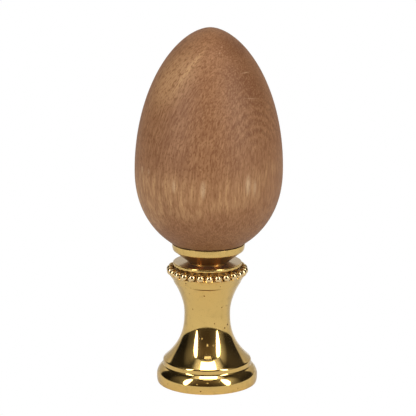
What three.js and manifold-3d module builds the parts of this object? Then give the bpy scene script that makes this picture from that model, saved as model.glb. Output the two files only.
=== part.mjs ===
// A lamp finial: a turned wooden egg on a flared brass seat, a beaded brass collar and a brass
// base shaped like a bell on a round foot. Millimetres, +Z up. The origin is the centre of the
// foot's underside, so the finial stands on z = 0 with its axis on +Z.
import * as THREE from "three";
import { mergeVertices } from "three/addons/utils/BufferGeometryUtils.js";
import Module from "manifold-3d";

// Driving dimensions of the base, from the underside up
const footUndersideRadius = 10.1;
const footRadius = 10.35;
const footWidestHeight = 1.4;
const footShoulderWidth = 3.75;
const footShoulderHeight = 3.05;
const footShoulderDegrees = 45;
const ringRadius = 9.05;
const ringTop = 4.93;
const ringArris = 0.55;
const ringArrisDegrees = 47;
const waistRadius = 4.7;
const waistZ = 14.7;
const bellFlarePower = 2.6;
const bellMouthRadius = 6.85;
const bellMouthPower = 1.84;
const baseTop = 21.15;

// Driving dimensions of the tapped hole in the underside, for a 1/4-27 lamp thread
const threadRadius = 3.175;
const holeDepth = 11;
const holeChamfer = 0.45;

// Driving dimensions of the beaded collar
const skirtRadius = 7.05;
const skirtHeight = 0.45;
const flangeRadius = 7.9;
const flangeHeight = 1.25;
const beadCount = 26;
const beadDiameter = 1.75;
const beadCircleRadius = 7.48;
const beadRise = 0.65;
const beadTurnDegrees = 3;
const grooveRadius = 6.65;
const grooveRise = 0.55;
const grooveHeight = 0.42;
const rimRadius = 7.03;
const rimHeight = 0.8;
const rimArris = 0.12;

// Driving dimensions of the seat
const neckRadius = 4.2;
const neckHeight = 0.1;
const cupEdgeRadius = 7;
const underCutHeight = 2.2;
const cupHeight = 1.05;
const cupEdgeDegrees = 72;
const seatRadius = 7.45;
const seatRimHeight = 0.45;
const seatRimArris = 0.1;

// Driving dimensions of the egg
const eggRadius = 15;
const eggCutRadius = 7.1;
const eggCutArris = 0.15;
const eggWaistHeight = 15.35;
const eggLowerPower = 2.2;
const eggLowerRoot = 0.52;
const eggUpperHeight = 28.8;
const eggUpperPower = 2;
const eggUpperRoot = 0.565;

// The hair gap left where one piece is screwed or glued down on the next
const jointGap = 0.1;

// How finely round forms are cut into facets
const baseSides = 45;
const collarSides = 52;
const seatSides = 45;
const eggSides = 45;
const beadSides = 8;
const beadBands = 6;
const toeSteps = 3;
const shoulderSteps = 4;
const filletSteps = 3;
const arrisSteps = 2;
const flareSteps = 9;
const mouthSteps = 5;
const cupSteps = 4;
const eggLowerSteps = 8;
const eggUpperSteps = 11;

const wasm = await Module();
wasm.setup();

// Heights of the seams between pieces and of the forms within them
const collarBottom = baseTop + jointGap;
const flangeBottom = collarBottom + skirtHeight;
const flangeTop = flangeBottom + flangeHeight;
const beadZ = flangeTop + beadRise;
const grooveBottom = beadZ + grooveRise;
const rimBottom = grooveBottom + grooveHeight;
const collarTop = rimBottom + rimHeight;
const seatBottom = collarTop + jointGap;
const cupEdgeZ = seatBottom + neckHeight + underCutHeight;
const seatRimBottom = cupEdgeZ + cupHeight;
const seatTop = seatRimBottom + seatRimHeight;
const eggBottom = seatTop + jointGap;
const eggWidestZ = eggBottom + eggWaistHeight;
const eggTop = eggWidestZ + eggUpperHeight;

const polishedBrass = new THREE.MeshStandardMaterial({ color: 0xc9a24e, roughness: 0.18, metalness: 1 });
const shadedBrass = new THREE.MeshStandardMaterial({ color: 0xc29a48, roughness: 0.22, metalness: 1 });
const cupBrass = new THREE.MeshStandardMaterial({ color: 0xcca95a, roughness: 0.28, metalness: 1 });
const stainedWood = new THREE.MeshStandardMaterial({ color: 0x93694a, roughness: 0.55, metalness: 0 });

// Points on an ellipse about (radius, height), between two angles in degrees
function arc(radius, height, across, up, fromDegrees, toDegrees, steps) {
  const points = [];
  for (let i = 0; i <= steps; i++) {
    const angle = THREE.MathUtils.degToRad(THREE.MathUtils.lerp(fromDegrees, toDegrees, i / steps));
    points.push([radius + across * Math.cos(angle), height + up * Math.sin(angle)]);
  }
  return points;
}

// Points on a stretch whose radius and height are functions of a share from 0 to 1
function sweep(radiusAt, heightAt, steps) {
  const points = [];
  for (let i = 0; i <= steps; i++) {
    points.push([radiusAt(i / steps), heightAt(i / steps)]);
  }
  return points;
}

// The solid that a profile of [radius, height] points makes when it is turned about Z
function turned(profile, sides) {
  const points = profile.map(([radius, height]) => new THREE.Vector2(radius, height));
  const geometry = new THREE.LatheGeometry(points, sides);
  geometry.rotateX(Math.PI / 2);
  return geometry;
}

// A closed geometry as a solid for joining
function toSolid(geometry) {
  const bare = geometry.clone();
  bare.deleteAttribute("normal");
  bare.deleteAttribute("uv");
  const merged = mergeVertices(bare, 1e-4);
  return new wasm.Manifold(
    new wasm.Mesh({
      numProp: 3,
      vertProperties: merged.attributes.position.array,
      triVerts: new Uint32Array(merged.index.array),
    }),
  );
}

// A joined solid back as a geometry
function toGeometry(solid) {
  const mesh = solid.getMesh();
  const geometry = new THREE.BufferGeometry();
  geometry.setAttribute("position", new THREE.BufferAttribute(mesh.vertProperties, 3));
  geometry.setIndex(new THREE.BufferAttribute(mesh.triVerts, 1));
  geometry.computeVertexNormals();
  return geometry;
}

function named(name, geometry, material) {
  const mesh = new THREE.Mesh(geometry, material);
  mesh.name = name;
  return mesh;
}

// The base: a round foot whose shoulder runs through a small fillet into an upright ring, and a bell
// drawn in from the ring to a waist. A blind hole comes up from below.
function makeBase() {
  const toe = arc(
    footUndersideRadius,
    footWidestHeight,
    footRadius - footUndersideRadius,
    footWidestHeight,
    -90,
    0,
    toeSteps,
  );
  const shoulder = arc(
    footRadius - footShoulderWidth,
    footWidestHeight,
    footShoulderWidth,
    footShoulderHeight,
    0,
    footShoulderDegrees,
    shoulderSteps,
  );
  const [shoulderEndRadius, shoulderEndZ] = shoulder.at(-1);
  const shoulderTurn = THREE.MathUtils.degToRad(footShoulderDegrees);
  const filletTurn = Math.atan(Math.tan(shoulderTurn) * (footShoulderWidth / footShoulderHeight));
  const filletRadius = (shoulderEndRadius - ringRadius) / (1 - Math.cos(filletTurn));
  const filletZ = shoulderEndZ + filletRadius * Math.sin(filletTurn);
  const filletDegrees = THREE.MathUtils.radToDeg(filletTurn);
  const arrisTurn = THREE.MathUtils.degToRad(ringArrisDegrees);
  const arrisZ = ringTop - ringArris * Math.sin(arrisTurn);
  const flareRadius = ringRadius - ringArris * (1 - Math.cos(arrisTurn));
  const profile = [
    [0, holeDepth],
    [threadRadius, holeDepth],
    [threadRadius, holeChamfer],
    [threadRadius + holeChamfer, 0],
    ...toe,
    ...shoulder.slice(1),
    ...arc(
      ringRadius + filletRadius,
      filletZ,
      filletRadius,
      filletRadius,
      180 + filletDegrees,
      180,
      filletSteps,
    ).slice(1),
    ...arc(ringRadius - ringArris, arrisZ, ringArris, ringArris, 0, ringArrisDegrees, arrisSteps),
    ...sweep(
      (t) => waistRadius + (flareRadius - waistRadius) * (1 - t) ** bellFlarePower,
      (t) => THREE.MathUtils.lerp(ringTop, waistZ, t),
      flareSteps,
    ).slice(1),
    ...sweep(
      (t) => waistRadius + (bellMouthRadius - waistRadius) * t ** bellMouthPower,
      (t) => THREE.MathUtils.lerp(waistZ, baseTop, t),
      mouthSteps,
    ).slice(1),
    [0, baseTop],
  ];
  return named("base", turned(profile, baseSides), polishedBrass);
}

// The collar: a short skirt that carries on the bell's line, a coned flange with a row of beads
// round its edge, and a polished disc on top with a shallow groove under its rim.
function makeBeadedCollar() {
  const profile = [
    [0, collarBottom],
    [bellMouthRadius, collarBottom],
    [skirtRadius, flangeBottom],
    [flangeRadius, flangeTop],
    [grooveRadius, grooveBottom],
    [grooveRadius, rimBottom - (rimRadius - grooveRadius) / 2],
    [rimRadius - rimArris, rimBottom],
    [rimRadius, rimBottom + rimArris],
    [rimRadius, collarTop - rimArris],
    [rimRadius - rimArris, collarTop],
    [0, collarTop],
  ];
  let collar = toSolid(turned(profile, collarSides));
  const bead = new THREE.SphereGeometry(beadDiameter / 2, beadSides, beadBands);
  bead.rotateX(Math.PI / 2);
  bead.rotateZ(Math.PI / beadSides);
  for (let i = 0; i < beadCount; i++) {
    const turn = THREE.MathUtils.degToRad(beadTurnDegrees - 90) + (2 * Math.PI * i) / beadCount;
    const placed = bead.clone();
    placed.rotateZ(turn);
    placed.translate(beadCircleRadius * Math.cos(turn), beadCircleRadius * Math.sin(turn), beadZ);
    collar = collar.add(toSolid(placed));
  }
  return named("beaded_collar", toGeometry(collar), shadedBrass);
}

// The seat: a small flared cup, undercut to a neck, with a flat top that the egg stands on.
function makeSeat() {
  const profile = [
    [0, seatBottom],
    [neckRadius, seatBottom],
    [neckRadius, seatBottom + neckHeight],
    [cupEdgeRadius, cupEdgeZ],
    ...arc(cupEdgeRadius, seatRimBottom, seatRadius - cupEdgeRadius, -cupHeight, cupEdgeDegrees, 0, cupSteps),
    [seatRadius, seatTop - seatRimArris],
    [seatRadius - seatRimArris, seatTop],
    [0, seatTop],
  ];
  return named("seat", turned(profile, seatSides), cupBrass);
}

// The egg: blunt below, where it is cut off square to stand on the seat, and drawn out above.
function makeEgg() {
  const cutShare = (1 - (eggCutRadius / eggRadius) ** (1 / eggLowerRoot)) ** (1 / eggLowerPower);
  const lowerLength = eggWaistHeight / cutShare;
  const lowerRadius = (share) => eggRadius * (1 - share ** eggLowerPower) ** eggLowerRoot;
  const upperRadius = (share) => eggRadius * (1 - share ** eggUpperPower) ** eggUpperRoot;
  const profile = [
    [0, eggBottom],
    [eggCutRadius - eggCutArris, eggBottom],
    ...sweep(
      (t) => lowerRadius(cutShare * (1 - t)),
      (t) => eggWidestZ - lowerLength * cutShare * (1 - t),
      eggLowerSteps,
    ).slice(0, -1),
    ...sweep(
      (t) => upperRadius(Math.sin((Math.PI / 2) * t)),
      (t) => eggWidestZ + eggUpperHeight * Math.sin((Math.PI / 2) * t),
      eggUpperSteps,
    ).slice(0, -1),
    [0, eggTop],
  ];
  return named("egg", turned(profile, eggSides), stainedWood);
}

const finial = new THREE.Group();
finial.add(makeBase(), makeBeadedCollar(), makeSeat(), makeEgg());

export default finial;
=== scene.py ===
"""A lamp finial: a turned wooden egg on a flared brass seat, a beaded brass collar and a polished
brass base like a bell on a round foot. It stands on white paper in soft studio light."""

import math
import random

import bmesh
import bpy
from mathutils import Matrix, Vector, noise


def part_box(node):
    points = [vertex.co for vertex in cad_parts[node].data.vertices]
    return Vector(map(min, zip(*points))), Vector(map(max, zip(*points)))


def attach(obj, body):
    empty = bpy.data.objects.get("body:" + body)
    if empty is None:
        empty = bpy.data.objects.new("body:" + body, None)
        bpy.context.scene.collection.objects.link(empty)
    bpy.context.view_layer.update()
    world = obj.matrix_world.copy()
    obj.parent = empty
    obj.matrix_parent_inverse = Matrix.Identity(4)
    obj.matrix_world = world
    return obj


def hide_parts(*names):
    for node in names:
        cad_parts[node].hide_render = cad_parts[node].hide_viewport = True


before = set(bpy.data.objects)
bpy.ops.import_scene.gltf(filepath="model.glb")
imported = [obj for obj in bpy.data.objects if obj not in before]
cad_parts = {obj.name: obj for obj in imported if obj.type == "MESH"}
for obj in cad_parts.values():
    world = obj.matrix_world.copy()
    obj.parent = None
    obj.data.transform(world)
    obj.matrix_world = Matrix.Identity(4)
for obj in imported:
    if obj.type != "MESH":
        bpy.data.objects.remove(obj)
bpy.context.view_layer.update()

# The camera. A long lens looks down on the finial at 13 and a half degrees from 0.45 m away, and
# is turned by a fifth of a degree, so that the finial leans a hair to the right in the picture.
mm = 0.001
camera_away = 434.4 * mm
camera_height = 140.7 * mm
camera_right = 0.085 * mm
camera_pitch = math.radians(13.487)
camera_roll = math.radians(0.2)
picture_width = 416
focal_pixels = 2200

camera_data = bpy.data.cameras.new("camera")
camera_data.sensor_width = 36
camera_data.lens = camera_data.sensor_width * focal_pixels / picture_width
camera_data.clip_start = 10 * mm
camera_data.clip_end = 20000 * mm
camera = bpy.data.objects.new("camera", camera_data)
camera.matrix_world = (
    Matrix.Translation((camera_right, -camera_away, camera_height))
    @ Matrix.Rotation(math.pi / 2 - camera_pitch, 4, "X")
    @ Matrix.Rotation(camera_roll, 4, "Z")
)
bpy.context.scene.collection.objects.link(camera)
bpy.context.scene.camera = camera
bpy.context.scene.view_settings.view_transform = "Standard"


# The studio. The finial stands on white paper with nothing but white behind. Two upright lights
# shaped like lenses flank the camera, and a softbox and a smaller lamp hang above in front. The
# brass mirrors them, and the dark room that begins a hand's width in front of the finial.
def tone(code):
    """A #rrggbb colour as it is seen, as the linear red, green, blue and alpha that shaders use."""
    seen = [int(code[i : i + 2], 16) / 255 for i in (1, 3, 5)]
    return [c / 12.92 if c <= 0.04045 else ((c + 0.055) / 1.055) ** 2.4 for c in seen] + [1]


def add_node(tree, kind, inputs=(), **settings):
    """Adds a node with its settings. Each input is a value, or an output to link from."""
    node = tree.nodes.new("ShaderNode" + kind)
    for name, value in settings.items():
        setattr(node, name, value)
    places = inputs if isinstance(inputs, dict) else dict(enumerate(inputs))
    for place, value in places.items():
        if isinstance(value, bpy.types.NodeSocket):
            tree.links.new(value, node.inputs[place])
        else:
            node.inputs[place].default_value = value
    return node.outputs


# The setting with which a map range changes smoothly from its low to its high value.
smooth = {"interpolation_type": "SMOOTHSTEP"}


def new_material(name):
    """A new material and its node tree, with nothing in it."""
    made = bpy.data.materials.new(name)
    made.use_nodes = True
    made.node_tree.nodes.clear()
    return made, made.node_tree


def flat_sheet(name, centre, width, depth, material):
    """A level rectangle of the studio, not part of the object."""
    sheet = bmesh.new()
    bmesh.ops.create_grid(sheet, x_segments=1, y_segments=1, size=0.5)
    bmesh.ops.scale(sheet, vec=(width, depth, 1), verts=sheet.verts)
    bmesh.ops.translate(sheet, vec=centre, verts=sheet.verts)
    mesh = bpy.data.meshes.new(name)
    sheet.to_mesh(mesh)
    sheet.free()
    mesh.materials.append(material)
    made = bpy.data.objects.new(name, mesh)
    bpy.context.scene.collection.objects.link(made)
    return made


def unseen_by(sheet, *rays):
    """Hides a sheet of the studio from these kinds of ray."""
    for ray in rays:
        setattr(sheet, "visible_" + ray, False)


# White paper, matt. The camera sees it blown out to pure white.
paper_white = tone("#e9e9e7")
paper_size = 8
paper, tree = new_material("white_backdrop_paper")
sight = add_node(tree, "LightPath")["Is Camera Ray"]
lit = add_node(tree, "BsdfDiffuse", {"Color": paper_white})[0]
blank = add_node(tree, "Emission", {"Color": tone("#ffffff"), "Strength": 1})[0]
shader = add_node(tree, "MixShader", (sight, lit, blank))[0]
add_node(tree, "OutputMaterial", {"Surface": shader})
flat_sheet("floor", (0, 0, 0), paper_size, paper_size, paper)

# The floor of the dark room, laid over the paper in front. The camera doesn't see it.
paper_edge = -119.5 * mm
room_depth = 3
room_width = 6
room_floor, tree = new_material("dark_room_floor")
shader = add_node(tree, "Emission", {"Color": tone("#40382c"), "Strength": 1})[0]
add_node(tree, "OutputMaterial", {"Surface": shader})
floor_middle = (0, paper_edge - room_depth / 2, 0.1 * mm)
dark_floor = flat_sheet("dark_floor", floor_middle, room_width, room_depth, room_floor)
unseen_by(dark_floor, "camera", "diffuse", "shadow", "transmission")

# What the brass mirrors round the horizon: degrees from the camera's side, and the colour there.
room_tones = (
    (-180, "#bcbab6"),
    (-134, "#bcbab6"),
    (-130, "#171512"),
    (-98, "#171513"),
    (-84, "#4a4844"),
    (-64, "#55534c"),
    (-40, "#4d443b"),
    (-18, "#443b31"),
    (14, "#443b31"),
    (34, "#565045"),
    (57, "#96948f"),
    (74, "#6c6a65"),
    (86, "#2f2c28"),
    (130, "#2c2926"),
    (134, "#bcbab6"),
    (180, "#bcbab6"),
)
ceiling_colour = tone("#a6a39d")
soft_light = 0.52
world = bpy.data.worlds.new("studio")
bpy.context.scene.world = world
world.use_nodes = True
tree = world.node_tree
tree.nodes.clear()
towards = add_node(tree, "TexCoord")["Generated"]
axes = add_node(tree, "SeparateXYZ", (towards,))
behind = add_node(tree, "Math", (axes["Y"], -1), operation="MULTIPLY")[0]
turn = add_node(tree, "Math", (axes["X"], behind), operation="ARCTAN2")[0]
share = add_node(tree, "MapRange", (turn, -math.pi, math.pi, 0, 1))[0]
walls = add_node(tree, "ValToRGB", (share,))[0]
stops = walls.node.color_ramp.elements
for i, (degrees, colour) in enumerate(room_tones):
    if i >= len(stops):
        stops.new(1)
    stops[i].position = degrees / 360 + 0.5
    stops[i].color = tone(colour)

# To both sides a pale ceiling shows. The walls are brighter halfway up than below, and dark again
# near the top.
sideways = add_node(tree, "Math", (turn,), operation="ABSOLUTE")[0]
aside = add_node(tree, "MapRange", (sideways, 0.5, 0.8, 0, 1), **smooth)[0]
overhead = add_node(tree, "MapRange", (axes["Z"], 0.93, 0.96, 0, 1), **smooth)[0]
side_ceiling = add_node(tree, "Math", (aside, overhead), operation="MULTIPLY")[0]
room = add_node(tree, "Mix", {0: side_ceiling, 6: walls, 7: ceiling_colour}, data_type="RGBA")[2]
halfway = add_node(tree, "MapRange", (axes["Z"], 0.25, 0.7, 1, 2.1), **smooth)[0]
near_top = add_node(tree, "MapRange", (axes["Z"], 0.76, 0.88, 1, 0.3), **smooth)[0]
wall_light = add_node(tree, "Math", (halfway, near_top), operation="MULTIPLY")[0]
brightness = add_node(tree, "Mix", {0: side_ceiling, 2: wall_light, 3: 1})[0]

# The camera sees plain white past the paper, the brass mirrors the room, and soft light comes from
# all round.
rays = add_node(tree, "LightPath")
mirrored = add_node(tree, "Background", {"Color": room, "Strength": brightness})[0]
lighting = add_node(tree, "Background", {"Color": tone("#ffffff"), "Strength": soft_light})[0]
plain = add_node(tree, "Background", {"Color": tone("#ffffff"), "Strength": 1})[0]
unseen = add_node(tree, "MixShader", (rays["Is Glossy Ray"], lighting, mirrored))[0]
shader = add_node(tree, "MixShader", (rays["Is Camera Ray"], unseen, plain))[0]
add_node(tree, "OutputWorld", {"Surface": shader})


def panel_light(name, place, aim_at, width, height, radiance, shape, colour="#ffffff"):
    """A flat light of one brightness all over, however large it is."""
    data = bpy.data.lights.new(name, "AREA")
    data.shape = shape
    data.size = width
    data.size_y = height
    area = width * height * (math.pi / 4 if shape == "ELLIPSE" else 1)
    data.energy = radiance * math.pi * area
    data.color = tone(colour)[:3]
    made = bpy.data.objects.new(name, data)
    made.location = place
    made.rotation_euler = (Vector(aim_at) - Vector(place)).to_track_quat("-Z", "Y").to_euler()
    made.visible_camera = False
    bpy.context.scene.collection.objects.link(made)
    return made


strip_away = 600 * mm
strip_height = 840 * mm
strip_z = 418 * mm
strip_radiance = 8
for name, degrees, width in (("strip_left", -49.5, 165 * mm), ("strip_right", 48.5, 185 * mm)):
    strip_x = strip_away * math.sin(math.radians(degrees))
    strip_y = -strip_away * math.cos(math.radians(degrees))
    place = (strip_x, strip_y, strip_z)
    panel_light(name, place, (0, 0, strip_z), width, strip_height, strip_radiance, "ELLIPSE")

# The softbox overhead, a white cloth lit from behind: bright in the middle, a little narrower away
# from the camera, and with a faint spill of light round it. It is seen only mirrored.
softbox_front = -225 * mm
softbox_back = -60 * mm
softbox_half = 136 * mm
softbox_half_back = softbox_half * 0.85
softbox_radiance = 8
spill_front = softbox_front - 27 * mm
spill_radiance = 1.05
sheet_middle = (20 * mm, -190 * mm, 500 * mm)
sheet_width = 780 * mm
sheet_depth = 250 * mm
softbox_cloth, tree = new_material("softbox_cloth")
axes = add_node(tree, "SeparateXYZ", (add_node(tree, "TexCoord")["Object"],))
reach = (axes["Y"], softbox_front, softbox_back, softbox_half, softbox_half_back)
half = add_node(tree, "MapRange", reach, **smooth)[0]
aside = add_node(tree, "Math", (axes["X"], sheet_middle[0]), operation="SUBTRACT")[0]
aside = add_node(tree, "Math", (aside,), operation="ABSOLUTE")[0]
share = add_node(tree, "Math", (aside, half), operation="DIVIDE")[0]
inner_edge = softbox_front + 5 * mm
glow = 0
for radiance, fade_start, fade_end, outer_edge in (
    (softbox_radiance, 0.95, 1.05, softbox_front - 1 * mm),
    (spill_radiance, 1.2, 2.4, spill_front),
):
    light = add_node(tree, "MapRange", (share, fade_start, fade_end, radiance, 0), **smooth)[0]
    past = add_node(tree, "MapRange", (axes["Y"], outer_edge, inner_edge, 0, 1), **smooth)[0]
    glow = add_node(tree, "Math", (light, past, glow), operation="MULTIPLY_ADD")[0]
shader = add_node(tree, "Emission", {"Color": tone("#ffffff"), "Strength": glow})[0]
clear = add_node(tree, "BsdfTransparent")[0]
there = add_node(tree, "Math", (glow, 0.02), operation="GREATER_THAN")[0]
shader = add_node(tree, "MixShader", (there, clear, shader))[0]
add_node(tree, "OutputMaterial", {"Surface": shader})
softbox = flat_sheet("softbox", sheet_middle, sheet_width, sheet_depth, softbox_cloth)
unseen_by(softbox, "camera", "diffuse", "shadow")

# A smaller lamp in front of the softbox faces down. Two more, smaller still, hang lower.
lamp_white = "#fffaf0"
lamp_place = Vector((18, -322, 510)) * mm
below = (lamp_place.x, lamp_place.y, 0)
lamp = panel_light("lamp_panel", lamp_place, below, 170 * mm, 62 * mm, 1.6, "RECTANGLE", lamp_white)
lamp.visible_diffuse = False
small_lamp_white = "#fff8ea"
for name, place, size, radiance in (
    ("lamp", (12, -480, 301), 44 * mm, 1.5),
    ("low_lamp", (-188, -442, 149), 30 * mm, 1.6),
):
    middle = Vector(place) * mm
    panel_light(name, middle, (0, 0, 0), size, size, radiance, "RECTANGLE", small_lamp_white)


# The base. One piece of brass bar, turned to a round foot, a small fillet, a ring and a bell, and
# buffed to a mirror. A blind hole in its underside is tapped 1/4-27 and screws onto a lamp harp.
foot_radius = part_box("base")[1].x / mm
base_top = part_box("base")[1].z / mm
underside_radius = 10.1
foot_widest = 1.4
shoulder_width = 3.75
shoulder_height = 3.05
shoulder_turn = math.radians(45)
ring_radius = 9.05
ring_top = 4.93
ring_arris = 0.55
arris_turn = math.radians(47)
waist_radius = 4.7
waist_height = 14.7
flare_power = 2.6
mouth_radius = 6.85
mouth_power = 1.84
thread_outer = 3.175
thread_inner = 2.7
thread_pitch = 25.4 / 27
thread_turns = 11
thread_flat = 0.12
hole_chamfer = 0.45
turning_steps = 240
toe_steps = 10
shoulder_steps = 18
fillet_steps = 12
arris_steps = 8
flare_steps = 36
mouth_steps = 22
corner_turn = math.radians(20)
brass_colour = tone("#e3bf75")
tarnish_colour = tone("#6b3f12")
# The pale colour of a sheen painted on the collar's beads and disc.
painted_sheen_brass = tone("#efd9bd")


def curve_points(radius_at, height_at, steps):
    """Points of a profile whose radius and height, in mm, are functions of a share from 0 to 1."""
    return [(radius_at(i / steps), height_at(i / steps)) for i in range(steps + 1)]


def arc_points(radius, height, across, up, start, end, steps):
    """Points on an ellipse about (radius, height), in mm, from one angle to another."""
    turns = [start + (end - start) * i / steps for i in range(steps + 1)]
    return [(radius + across * math.cos(t), height + up * math.sin(t)) for t in turns]


def turn_on_lathe(profile, steps):
    """A closed body of revolution about Z from a profile of (radius, height) in mm."""
    body = bmesh.new()
    line = [body.verts.new((radius * mm, 0, height * mm)) for radius, height in profile]
    edges = [body.edges.new(pair) for pair in zip(line, line[1:])]
    up = (0, 0, 1)
    geom = line + edges
    bmesh.ops.spin(
        body, geom=geom, cent=(0, 0, 0), axis=up, angle=2 * math.pi, steps=steps, use_merge=True
    )
    bmesh.ops.remove_doubles(body, verts=body.verts, dist=0.001 * mm)
    bmesh.ops.recalc_face_normals(body, faces=body.faces)
    return body


def round_arris(body, radius, height, size):
    """Rounds the sharp ring at this radius and height, in mm, to that size."""
    close = 0.005 * mm
    on_ring = {
        vert
        for vert in body.verts
        if abs(math.hypot(vert.co.x, vert.co.y) - radius * mm) < close
        and abs(vert.co.z - height * mm) < close
    }
    ring = [edge for edge in body.edges if on_ring.issuperset(edge.verts)]
    bmesh.ops.bevel(
        body, geom=ring, offset=size * mm, affect="EDGES", segments=4, profile=0.5, material=-1
    )


def make_piece(name, body, material, node):
    """The finished mesh as a piece of the finial, smooth but for its sharp corners."""
    bmesh.ops.recalc_face_normals(body, faces=body.faces)
    for face in body.faces:
        face.smooth = True
    for edge in body.edges:
        edge.smooth = edge.calc_face_angle(0) < corner_turn
    mesh = bpy.data.meshes.new(name)
    body.to_mesh(mesh)
    body.free()
    mesh.materials.append(material)
    made = bpy.data.objects.new(name, mesh)
    bpy.context.scene.collection.objects.link(made)
    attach(made, "root")
    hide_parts(node)


toe = foot_radius - underside_radius
shoulder_radius = foot_radius - shoulder_width
past_toe = 0.05
shoulder = arc_points(
    shoulder_radius,
    foot_widest,
    shoulder_width,
    shoulder_height,
    past_toe,
    shoulder_turn,
    shoulder_steps,
)
fillet_turn = math.atan(math.tan(shoulder_turn) * shoulder_width / shoulder_height)
fillet = (shoulder[-1][0] - ring_radius) / (1 - math.cos(fillet_turn))
ring_low = shoulder[-1][1] + fillet * math.sin(fillet_turn)
arris_height = ring_top - ring_arris * math.sin(arris_turn)
flare_radius = ring_radius - ring_arris * (1 - math.cos(arris_turn))
hole_depth = thread_pitch * thread_turns + hole_chamfer
profile = [(0, hole_depth), (thread_inner, hole_depth)]
for i in reversed(range(thread_turns)):
    root = hole_chamfer + thread_pitch * (i + 0.5)
    flank = thread_pitch * (1 - thread_flat) / 2
    profile += [(thread_inner, root + flank), (thread_outer, root), (thread_inner, root - flank)]
profile.append((thread_outer + hole_chamfer, 0))
profile += arc_points(underside_radius, foot_widest, toe, foot_widest, -math.pi / 2, 0, toe_steps)
profile += shoulder
fillet_start = math.pi + fillet_turn
profile += arc_points(
    ring_radius + fillet, ring_low, fillet, fillet, fillet_start, math.pi, fillet_steps
)[1:]
arris_radius = ring_radius - ring_arris
profile += arc_points(arris_radius, arris_height, ring_arris, ring_arris, 0, arris_turn, arris_steps)
profile += curve_points(
    lambda s: waist_radius + (flare_radius - waist_radius) * (1 - s) ** flare_power,
    lambda s: ring_top + (waist_height - ring_top) * s,
    flare_steps,
)[1:]
profile += curve_points(
    lambda s: waist_radius + (mouth_radius - waist_radius) * s**mouth_power,
    lambda s: waist_height + (base_top - waist_height) * s,
    mouth_steps,
)[1:]
profile.append((0, base_top))
base_body = turn_on_lathe(profile, turning_steps)


def mm_coordinates(tree, scale=(1, 1, 1)):
    """Places on the piece in mm, each axis times its own scale."""
    place = add_node(tree, "TexCoord")["Object"]
    return add_node(tree, "Mapping", {"Vector": place, "Scale": [s / mm for s in scale]})[0]


def spot_share(tree, turn, radius, height, across, up, lean=0, soft=0.5):
    """1 inside an oval spot on a turned surface and 0 outside, by turn in degrees and mm."""
    turn = math.radians(turn)
    at = (radius * math.sin(turn), -radius * math.cos(turn), height)
    sockets = {
        "Vector": mm_coordinates(tree),
        "Location": at,
        "Rotation": (0, math.radians(lean), turn),
        "Scale": (across, max(across, up), up),
    }
    inside = add_node(tree, "Mapping", sockets, vector_type="TEXTURE")[0]
    away = add_node(tree, "VectorMath", (inside,), operation="LENGTH")["Value"]
    return add_node(tree, "MapRange", (away, soft, 1, 1, 0), **smooth)[0]


# Polished brass, bare of lacquer: a warm pale gold mirror under a thin haze of fine scratches and
# dust, with a cloudy bloom and brown pits of tarnish. The rings that the lathe left are really a
# few hundredths of a millimetre apart, and are drawn coarser so that they show. Sizes are in mm.
cloud_size = 4.55
bloom_size = 1.11
pit_spacing = 1.82
lathe_ring = 0.2
scratch_roughness = 0.25
tarnish_roughness = 0.45


def polished_brass(name, gloss, haze, dust, add_stains, add_painted_sheen=None, lathe_depth=0.0006):
    """gloss is the bare mirror's roughness, haze the share that is scratched and dust its sheen.
    add_stains takes the tree and gives the shares of the piece's own marks, and the function after
    it, if any, the share of a pale sheen painted into the colour."""
    made, tree = new_material(name)
    place = mm_coordinates(tree)
    sockets = {"Vector": place, "Scale": 1 / cloud_size, "Detail": 3, "Roughness": 0.6}
    clouds = add_node(tree, "TexNoise", sockets)[0]
    cloud = add_node(tree, "MapRange", (clouds, 0.5, 0.8, 0, 0.12), **smooth)[0]
    sockets = {"Vector": place, "Scale": 1 / bloom_size, "Detail": 4, "Roughness": 0.65}
    blooms = add_node(tree, "TexNoise", sockets)[0]
    bloom = add_node(tree, "MapRange", (blooms, 0.5, 0.75, 0, 0.16), **smooth)[0]
    stain = add_node(tree, "Math", (cloud, bloom), operation="ADD")[0]
    pits = add_node(tree, "TexVoronoi", {"Vector": place, "Scale": 1 / pit_spacing})[0]
    pit = add_node(tree, "MapRange", (pits, 0.05, 0.1, 0.7, 0), **smooth)[0]
    for share in (pit, *add_stains(tree)):
        stain = add_node(tree, "Math", (stain, share), operation="MAXIMUM")[0]
    sockets = {0: stain, 6: brass_colour, 7: tarnish_colour}
    colour = add_node(tree, "Mix", sockets, data_type="RGBA")[2]
    # A pale sheen painted into the colour, where the piece has one.
    if add_painted_sheen:
        sockets = {0: add_painted_sheen(tree), 6: colour, 7: painted_sheen_brass}
        colour = add_node(tree, "Mix", sockets, data_type="RGBA")[2]
    round_rings = mm_coordinates(tree, (0.02, 0.02, 1))
    sockets = {"Vector": round_rings, "Scale": 1 / lathe_ring, "Detail": 3}
    lathe = add_node(tree, "TexNoise", sockets)[0]
    bump = add_node(tree, "Bump", {"Distance": lathe_depth * mm, "Height": lathe})[0]
    roughness = (stain, 0, 0.8, gloss, tarnish_roughness)
    sockets = {
        "Base Color": colour,
        "Metallic": 1,
        "Roughness": add_node(tree, "MapRange", roughness, **smooth)[0],
        "Normal": bump,
        "Sheen Weight": dust,
        "Sheen Roughness": 0.3,
    }
    mirror = add_node(tree, "BsdfPrincipled", sockets)[0]
    sockets = {"Base Color": colour, "Metallic": 1, "Roughness": scratch_roughness}
    scratched = add_node(tree, "BsdfPrincipled", sockets)[0]
    shader = add_node(tree, "MixShader", (haze, mirror, scratched))[0]
    add_node(tree, "OutputMaterial", {"Surface": shader})
    return made


# Specks on the base: turn in degrees, radius, height and half width in mm.
base_specks = (
    (-6, 6.0, 19.6, 0.22),
    (37, 4.9, 16.7, 0.2),
    (60, 4.8, 12.6, 0.3),
    (48, 4.85, 12.1, 0.24),
    (-7, 10.3, 0.8, 0.2),
    (13, 5.8, 9.1, 0.3),
)
speck_strength = 0.85
seam_strength = 0.95


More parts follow.
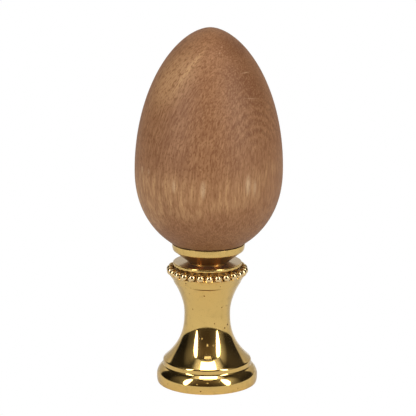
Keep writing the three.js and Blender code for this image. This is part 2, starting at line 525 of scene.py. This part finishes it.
def base_stains(tree):
    """The specks, and a brown line on the seam under the collar in front."""
    for turn, radius, height, size in base_specks:
        speck = spot_share(tree, turn, radius, height, size, size)
        yield add_node(tree, "Math", (speck, speck_strength), operation="MULTIPLY")[0]
    seam = spot_share(tree, 0, mouth_radius, base_top, 3.6, 0.3)
    yield add_node(tree, "Math", (seam, seam_strength), operation="MULTIPLY")[0]


base_brass = polished_brass("polished_brass", 0.06, 0.07, 0.15, base_stains)
make_piece("bell_base", base_body, base_brass, "base")


# The beaded collar. A brass ring with a row of small round beads raised on its flange, under a
# polished disc. Red-brown tarnish has stayed in the gaps between the beads and in the groove.
collar_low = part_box("beaded_collar")[0].z / mm
disc_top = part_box("beaded_collar")[1].z / mm
skirt_radius = 7.05
skirt_height = 0.45
skirt_top = collar_low + skirt_height
flange_radius = 7.9
flange_height = 1.25
flange_top = skirt_top + flange_height
bead_count = 26
bead_radius = 0.875
bead_circle = 7.48
bead_rise = 0.65
bead_height = flange_top + bead_rise
bead_turn = math.radians(3)
bead_sides = 8
groove_radius = 6.65
groove_low = bead_height + 0.55
disc_radius = 7.03
rim_height = 0.8
disc_low = disc_top - rim_height
groove_top = disc_low - 0.17
disc_arris = 0.25

profile = [
    (0, base_top),
    (mouth_radius, base_top),
    (skirt_radius, skirt_top),
    (flange_radius, flange_top),
    (groove_radius, groove_low),
    (groove_radius, groove_top),
    (disc_radius, disc_low),
    (disc_radius, disc_top),
    (0, disc_top),
]
collar_body = turn_on_lathe(profile, bead_count * bead_sides)
round_arris(collar_body, disc_radius, disc_low, disc_arris)
round_arris(collar_body, disc_radius, disc_top, disc_arris)
# The beads aren't quite alike in size or height.
random.seed(4)
for i in range(bead_count):
    turn = bead_turn - math.pi / 2 + 2 * math.pi * i / bead_count
    size = bead_radius * random.uniform(0.97, 1.01) * mm
    at = Vector((math.cos(turn), math.sin(turn), 0)) * bead_circle * mm
    at.z = (bead_height + random.uniform(-0.03, 0.03)) * mm
    place = Matrix.Translation(at)
    bmesh.ops.create_icosphere(collar_body, subdivisions=3, radius=size, matrix=place)


def collar_places(tree):
    """How far a place on the collar is from the axis, and how high it is, both in mm."""
    flat = mm_coordinates(tree, (1, 1, 0))
    away = add_node(tree, "VectorMath", (flat,), operation="LENGTH")["Value"]
    return away, add_node(tree, "SeparateXYZ", (mm_coordinates(tree),))["Z"]


def collar_stains(tree):
    """Dirt deep between the beads and in the groove, and a speck on the flange."""
    away, height = collar_places(tree)
    deep = add_node(tree, "MapRange", (away, 7.45, flange_radius, 0.55, 0), **smooth)[0]
    above = (height, flange_top - 0.15, flange_top + 0.1, 0, 1)
    above = add_node(tree, "MapRange", above, **smooth)[0]
    below = add_node(tree, "MapRange", (height, disc_low - 0.05, disc_low, 1, 0), **smooth)[0]
    between = add_node(tree, "Math", (above, below), operation="MULTIPLY")[0]
    yield add_node(tree, "Math", (deep, between), operation="MULTIPLY")[0]
    speck = spot_share(tree, -35.7, 7.46, 22.3, 0.25, 0.2)
    yield add_node(tree, "Math", (speck, speck_strength), operation="MULTIPLY")[0]


def painted_bead_and_disc_sheen(tree):
    """Painted sheen: the outer faces of the beads and the top of the disc are painted paler than the
    rest.
    """
    away, height = collar_places(tree)
    above = (height, flange_top - 0.1, flange_top + 0.3, 0, 1)
    above = add_node(tree, "MapRange", above, **smooth)[0]
    outside = add_node(tree, "MapRange", (away, 7.6, 7.9, 0, 0.35), **smooth)[0]
    beads = add_node(tree, "Math", (outside, above), operation="MULTIPLY")[0]
    disc = add_node(tree, "MapRange", (height, disc_top - 0.06, disc_top, 0, 0.6), **smooth)[0]
    return add_node(tree, "Math", (beads, disc), operation="MAXIMUM")[0]


# The collar's brass, with a pale sheen painted on the fronts of the beads and the top of the disc.
collar_brass = polished_brass("beaded_brass", 0.14, 0.25, 0.15, collar_stains, painted_bead_and_disc_sheen)
make_piece("beaded_ring", collar_body, collar_brass, "beaded_collar")


# The seat. A small brass cup turned to a flared rim, undercut in a straight cone down to the disc.
# It carries the egg on its flat top. It sits a hair to the right of the collar's middle.
seat_low = disc_top
seat_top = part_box("seat")[1].z / mm
off_centre = 0.2
seat_radius = 7.45
seat_rim = 0.45
cup_radius = 7
cup_height = 1.05
neck_radius = 4.2
neck_height = 0.2
cup_low = seat_top - seat_rim - cup_height
cup_turn = 1.4
cup_steps = 12
cup_arris = 0.06
rim_taper = 0.05
rim_arris = 0.03
profile = [
    (0, seat_low),
    (neck_radius, seat_low),
    (neck_radius, seat_low + neck_height),
    (cup_radius, cup_low),
]
cup_round = seat_radius - rim_taper - cup_radius
rim_low = seat_top - seat_rim
profile += arc_points(cup_radius, rim_low, cup_round, -cup_height, cup_turn, 0, cup_steps)
profile += [(seat_radius, seat_top), (0, seat_top)]
seat_body = turn_on_lathe(profile, turning_steps)
round_arris(seat_body, seat_radius, seat_top, rim_arris)
round_arris(seat_body, cup_radius, cup_low, cup_arris)
bmesh.ops.translate(seat_body, vec=(off_centre * mm, 0, 0), verts=seat_body.verts)


def seat_stains(tree):
    """The cone under the rim has never been buffed and is brown."""
    height = add_node(tree, "SeparateXYZ", (mm_coordinates(tree),))["Z"]
    edge = (height, cup_low - 0.1, cup_low + 0.05, 0.75, 0)
    yield add_node(tree, "MapRange", edge, **smooth)[0]


seat_brass = polished_brass("seat_brass", 0.22, 0.3, 0.05, seat_stains, lathe_depth=0.003)
make_piece("flared_seat", seat_body, seat_brass, "seat")


# The egg. Turned from a straight-grained hardwood with the short dark flecks of beech, sanded,
# stained a light walnut brown and left dull. It is cut off below, a little ragged, and glued to
# the seat, where it leans by half a degree.
egg_low = seat_top
egg_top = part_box("egg")[1].z / mm
egg_radius = 15
egg_cut = 7.1
egg_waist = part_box("egg")[0].z / mm + 15.35
egg_lower_power = 2.2
egg_lower_root = 0.52
egg_upper_power = 2
egg_upper_root = 0.565
egg_lean = math.radians(0.5)
egg_off_centre = 0.08
ragged = 0.2
ragged_height = 0.9
ragged_lumps = 9
lower_steps = 60
upper_steps = 90
cut_share = (1 - (egg_cut / egg_radius) ** (1 / egg_lower_root)) ** (1 / egg_lower_power)
lower_length = (egg_waist - egg_low) / cut_share


def egg_radius_at(height):
    """The egg's radius at a height, both in mm."""
    if height < egg_waist:
        share = (egg_waist - height) / lower_length
        return egg_radius * (1 - share**egg_lower_power) ** egg_lower_root
    share = (height - egg_waist) / (egg_top - egg_waist)
    return egg_radius * (1 - share**egg_upper_power) ** egg_upper_root


lower_heights = [egg_low + (egg_waist - egg_low) * i / lower_steps for i in range(lower_steps)]
upper_turns = [math.pi / 2 * i / upper_steps for i in range(upper_steps)]
upper_heights = [egg_waist + (egg_top - egg_waist) * math.sin(t) for t in upper_turns]
profile = [(0, egg_low)]
profile += [(egg_radius_at(height), height) for height in lower_heights + upper_heights]
profile.append((0, egg_top))
egg_body = turn_on_lathe(profile, turning_steps)
for vert in egg_body.verts:
    low_share = max(0, 1 - (vert.co.z / mm - egg_low) / ragged_height)
    way = Vector((vert.co.x, vert.co.y, 0)).normalized()
    vert.co += way * noise.noise(way * ragged_lumps) * ragged * low_share * mm
turning = Matrix.Rotation(egg_lean, 3, "Y")
bmesh.ops.rotate(egg_body, cent=(0, 0, egg_low * mm), matrix=turning, verts=egg_body.verts)
bmesh.ops.translate(egg_body, vec=(egg_off_centre * mm, 0, 0), verts=egg_body.verts)

# Stained beech, dull and close-grained: it shows long fibres, a soft broad figure, short dark
# flecks, a curl of growth rings on the right and a paler band where it was sanded more. Sizes are
# in mm. The grain stands upright below and leans over more and more towards the top.
walnut_stain = tone("#835735")
pale_grain = tone("#a27750")
golden_grain = tone("#ba9062")
bare_grain = tone("#d2b38b")
deep_grain = tone("#693c1c")
fleck_colour = tone("#6a3b15")
# Glue and end grain at the egg's cut, darkened further with painted contact shade.
glue_and_contact_shade_brown = tone("#3c2718")
patch_size = 12.5
figure_width = 1.11
figure_length = 11.1
streak_width = 0.6667
streak_length = 7.14
fibre_width = 0.294
fibre_length = 3.33
fleck_width = 0.3125
fleck_length = 0.714
ring_gap = 1.28
ring_stretch = 1.4545
curl_middle = (9.5, -10.5, 46)
upright_below = 42
grain_bend = -0.012
band_low = (37, 42)
band_top = (44.5, 48.5)
band_waver = 2.2
band_slope = -0.4
fibre_relief = 0.03

# Marks in the wood: turn in degrees, height, half width and half height in mm, lean in degrees,
# strength and colour.
wood_marks = (
    (-24, 66.6, 0.9, 8.5, 29, 0.7, golden_grain),
    (-46, 64.5, 7, 10, 25, 0.6, golden_grain),
    (52, 70.2, 5, 5.5, -35, 0.85, deep_grain),
    (46, 63.5, 8, 9, -20, 0.75, deep_grain),
    (-43, 62.3, 0.7, 0.4, 0, 0.55, fleck_colour),
    (2, 49, 0.22, 2.8, 4, 0.5, fleck_colour),
    (22.3, 49.1, 0.16, 0.16, 0, 0.8, bare_grain),
    (25.5, 70.4, 0.3, 0.25, 0, 0.5, bare_grain),
    (18.6, 69.4, 0.3, 0.25, 0, 0.5, bare_grain),
    (47.6, 65.6, 1.9, 0.14, 0, 0.5, bare_grain),
    (44, 60.8, 2.6, 0.18, 8, 0.3, bare_grain),
    (31.8, 44.2, 0.9, 2.8, 0, 0.55, bare_grain),
    (38, 43.5, 0.6, 2.4, 0, 0.4, bare_grain),
    (-3.5, 43.6, 0.8, 2.6, 0, 0.5, bare_grain),
    (-26.5, 44, 0.6, 1.8, 0, 0.45, bare_grain),
    (-62, 46, 0.5, 1.2, 0, 0.5, bare_grain),
    (-52, 46, 0.4, 1, 0, 0.4, bare_grain),
    (4.5, 35.6, 0.14, 0.9, -28, 0.6, fleck_colour),
)


def wood_pattern(tree, place, width, length, detail, roughness=0.5):
    """Noise drawn out along the grain, in marks about this wide and long."""
    sockets = {"Vector": place, "Scale": (1 / width, 1 / width, 1 / length)}
    stretched = add_node(tree, "Mapping", sockets)[0]
    sockets = {"Vector": stretched, "Scale": 1, "Detail": detail, "Roughness": roughness}
    return add_node(tree, "TexNoise", sockets)[0]


def stained_wood():
    """Stained beech. Each layer is how much of a colour shows where, laid over those before it."""
    made, tree = new_material("stained_beech")
    axes = add_node(tree, "SeparateXYZ", (mm_coordinates(tree),))
    rise = add_node(tree, "Math", (axes["Z"], upright_below), operation="SUBTRACT")[0]
    rise = add_node(tree, "Math", (rise, 0), operation="MAXIMUM")[0]
    bend = add_node(tree, "Math", (rise, rise), operation="MULTIPLY")[0]
    across = add_node(tree, "Math", (bend, grain_bend, axes["X"]), operation="MULTIPLY_ADD")[0]
    grain = add_node(tree, "CombineXYZ", (across, axes["Y"], axes["Z"]))[0]
    layers = []

    sockets = {"Vector": mm_coordinates(tree), "Scale": 1 / patch_size, "Detail": 2}
    patches = add_node(tree, "TexNoise", sockets)[0]
    patch = add_node(tree, "MapRange", (patches, 0.3, 0.7, 0, 0.35), **smooth)[0]
    layers.append((patch, pale_grain))

    figures = wood_pattern(tree, grain, figure_width, figure_length, 3)
    figure = add_node(tree, "MapRange", (figures, 0.38, 0.62, 0.3, 0), **smooth)[0]
    layers.append((figure, deep_grain))

    # The sanded band: its edges waver, and its lower edge slopes.
    waver = add_node(tree, "MapRange", (patches, 0.3, 0.7, -band_waver, band_waver), **smooth)[0]
    top = add_node(tree, "Math", (axes["Z"], waver), operation="ADD")[0]
    low = add_node(tree, "Math", (axes["X"], band_slope, top), operation="MULTIPLY_ADD")[0]
    above = add_node(tree, "MapRange", (low, *band_low, 0, 1), **smooth)[0]
    below = add_node(tree, "MapRange", (top, *band_top, 1, 0), **smooth)[0]
    in_band = add_node(tree, "Math", (above, below), operation="MULTIPLY")[0]
    streaks = wood_pattern(tree, grain, streak_width, streak_length, 2, 0.6)
    streak = add_node(tree, "MapRange", (streaks, 0.42, 0.66, 0.15, 0.75), **smooth)[0]
    band = add_node(tree, "Math", (in_band, streak), operation="MULTIPLY")[0]
    layers.append((band, golden_grain))

    # The curl: growth rings round a middle, counted outwards from it, a little wavy.
    rings = (ring_gap, ring_gap, ring_gap * ring_stretch)
    sockets = {"Vector": mm_coordinates(tree), "Location": curl_middle, "Scale": rings}
    ring_place = add_node(tree, "Mapping", sockets, vector_type="TEXTURE")[0]
    away = add_node(tree, "VectorMath", (ring_place,), operation="LENGTH")["Value"]
    wavy = add_node(tree, "Math", (figures, 1.375, away), operation="MULTIPLY_ADD")[0]
    turns = add_node(tree, "Math", (wavy, 2 * math.pi), operation="MULTIPLY")[0]
    waves = add_node(tree, "Math", (turns,), operation="SINE")[0]
    in_curl = add_node(tree, "MapRange", (away, 7.73, 10.74, 1, 0), **smooth)[0]
    for axis, start, end in (("X", 3, 7), ("Z", 50, 54)):
        past = add_node(tree, "MapRange", (axes[axis], start, end, 0, 1), **smooth)[0]
        in_curl = add_node(tree, "Math", (in_curl, past), operation="MULTIPLY")[0]
    for crest, ring_colour in (((0, 0.9, 0, 0.55), deep_grain), ((-0.9, -0.2, 0.25, 0), pale_grain)):
        ring = add_node(tree, "MapRange", (waves, *crest), **smooth)[0]
        curl = add_node(tree, "Math", (in_curl, ring), operation="MULTIPLY")[0]
        layers.append((curl, ring_colour))

    for turn, height, half_across, half_up, lean, strength, mark_colour in wood_marks:
        spot = spot_share(tree, turn, egg_radius_at(height), height, half_across, half_up, lean, 0.1)
        mark = add_node(tree, "Math", (spot, strength), operation="MULTIPLY")[0]
        layers.append((mark, mark_colour))

    fibres = wood_pattern(tree, grain, fibre_width, fibre_length, 4, 0.65)
    pale_fibre = add_node(tree, "MapRange", (fibres, 0.45, 0.66, 0, 0.55), **smooth)[0]
    layers.append((pale_fibre, pale_grain))
    dark_fibre = add_node(tree, "MapRange", (fibres, 0.36, 0.5, 0.4, 0), **smooth)[0]
    layers.append((dark_fibre, fleck_colour))

    # Flecks lie thickest high up and on the left.
    grains = wood_pattern(tree, grain, fleck_width, fleck_length, 2, 0.6)
    fleck = add_node(tree, "MapRange", (grains, 0.36, 0.5, 1, 0), **smooth)[0]
    higher = add_node(tree, "MapRange", (axes["Z"], 38, 50, 0.15, 1), **smooth)[0]
    further_left = add_node(tree, "MapRange", (axes["X"], 0, 9, 0.7, 0.35), **smooth)[0]
    thick = add_node(tree, "Math", (higher, further_left), operation="MULTIPLY")[0]
    fleck = add_node(tree, "Math", (thick, fleck), operation="MULTIPLY")[0]
    layers.append((fleck, fleck_colour))

    # Glue darkens the end grain at the cut, and painted contact shade darkens it further where the
    # egg sits on the seat.
    shaded_cut_edge = (axes["Z"], egg_low + 0.15, egg_low + 0.4, 0.8, 0)
    layers.append((add_node(tree, "MapRange", shaded_cut_edge, **smooth)[0], glue_and_contact_shade_brown))

    colour = walnut_stain
    for share, layer_colour in layers:
        sockets = {0: share, 6: colour, 7: layer_colour}
        colour = add_node(tree, "Mix", sockets, data_type="RGBA")[2]
    sockets = {"Strength": 0.6, "Distance": fibre_relief * mm, "Height": fibres}
    bump = add_node(tree, "Bump", sockets)[0]
    sockets = {
        "Base Color": colour,
        "Roughness": 0.55,
        "IOR": 1.45,
        "Specular IOR Level": 0.4,
        "Normal": bump,
    }
    shader = add_node(tree, "BsdfPrincipled", sockets)[0]
    add_node(tree, "OutputMaterial", {"Surface": shader})
    return made


make_piece("wooden_egg", egg_body, stained_wood(), "egg")
